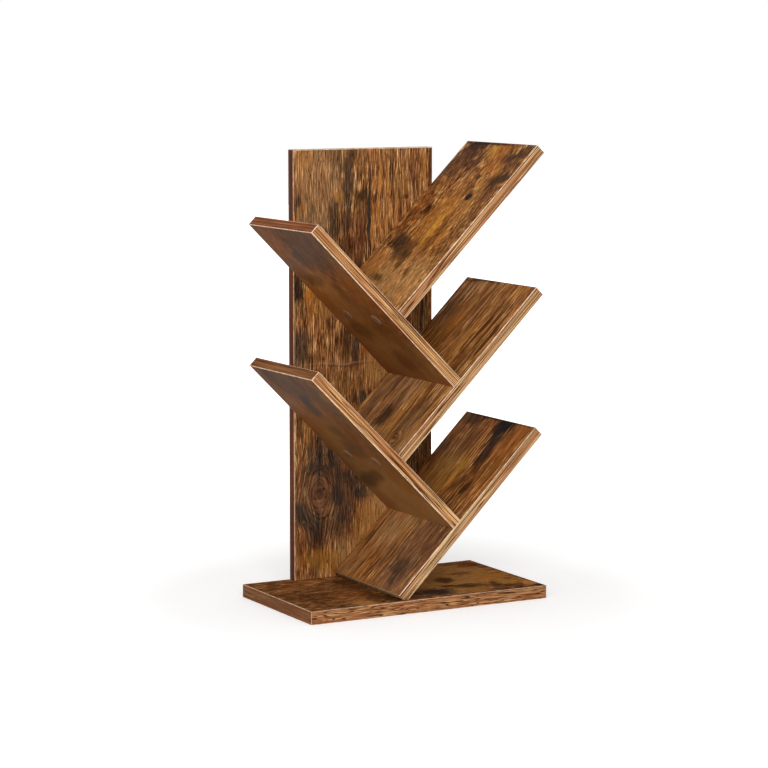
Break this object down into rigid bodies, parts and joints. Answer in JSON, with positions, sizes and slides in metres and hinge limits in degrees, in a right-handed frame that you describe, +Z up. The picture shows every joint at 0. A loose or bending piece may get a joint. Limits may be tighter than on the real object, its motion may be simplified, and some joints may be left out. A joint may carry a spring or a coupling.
{
  "type": "tree shaped bookshelf",
  "caption": "Free-standing tree shaped bookshelf: boards lean right and left in turn from an upright trunk board on a flat base, in rustic wood-effect board.",
  "frame": {"origin": "middle of the base's underside, on the surface that the bookshelf stands on", "axes": "+Z up, +X to the right seen from the front, +Y from the open front to the trunk at the back"},
  "size_m": [0.36, 0.205, 0.6156],
  "materials": {
    "faced_board": "wood-effect melamine paper on chipboard, rustic brown, satin",
    "edge_band": "wood-effect edge band, lighter than the faces, with pale scraped corners",
    "screw_steel": "zinc plated steel",
    "screw_cover": "thin round stick-on cover in the boards' colour"
  },
  "bodies": {
    "root": {"base_board": "faced_board", "base_band_front": "edge_band", "base_band_back": "edge_band", "base_band_left": "edge_band", "base_band_right": "edge_band", "trunk_board": "faced_board", "trunk_band_left": "edge_band", "trunk_band_right": "edge_band", "trunk_band_top": "edge_band", "right_shelf_lower": "faced_board", "right_shelf_lower_band_front": "edge_band", "right_shelf_lower_band_back": "edge_band", "right_shelf_lower_band_tip": "edge_band", "left_shelf_lower": "faced_board", "left_shelf_lower_band_front": "edge_band", "left_shelf_lower_band_back": "edge_band", "left_shelf_lower_band_tip": "edge_band", "right_shelf_middle": "faced_board", "right_shelf_middle_band_front": "edge_band", "right_shelf_middle_band_back": "edge_band", "right_shelf_middle_band_tip": "edge_band", "left_shelf_upper": "faced_board", "left_shelf_upper_band_front": "edge_band", "left_shelf_upper_band_back": "edge_band", "left_shelf_upper_band_tip": "edge_band", "right_shelf_upper": "faced_board", "right_shelf_upper_band_front": "edge_band", "right_shelf_upper_band_back": "edge_band", "right_shelf_upper_band_tip": "edge_band", "trunk_screw_right_lower_1": "screw_steel", "trunk_screw_right_lower_2": "screw_steel", "trunk_screw_left_lower_1": "screw_steel", "trunk_screw_left_lower_2": "screw_steel", "trunk_screw_right_middle_1": "screw_steel", "trunk_screw_right_middle_2": "screw_steel", "trunk_screw_left_upper_1": "screw_steel", "trunk_screw_left_upper_2": "screw_steel", "trunk_screw_right_upper_1": "screw_steel", "trunk_screw_right_upper_2": "screw_steel", "joint_screw_right_lower_1": "screw_steel", "joint_screw_right_lower_2": "screw_steel", "joint_screw_left_lower_1": "screw_steel", "joint_screw_left_lower_2": "screw_steel", "joint_screw_right_middle_1": "screw_steel", "joint_screw_right_middle_2": "screw_steel", "joint_screw_left_upper_1": "screw_steel", "joint_screw_left_upper_2": "screw_steel", "base_screw_trunk_1": "screw_steel", "base_screw_trunk_2": "screw_steel", "base_screw_shelf_1": "screw_steel", "base_screw_shelf_2": "screw_steel", "screw_cover_right_lower_1": "screw_cover", "screw_cover_right_lower_2": "screw_cover", "screw_cover_left_lower_1": "screw_cover", "screw_cover_left_lower_2": "screw_cover", "screw_cover_right_middle_1": "screw_cover", "screw_cover_right_middle_2": "screw_cover", "screw_cover_left_upper_1": "screw_cover", "screw_cover_left_upper_2": "screw_cover"}
  },
  "joints": []
}
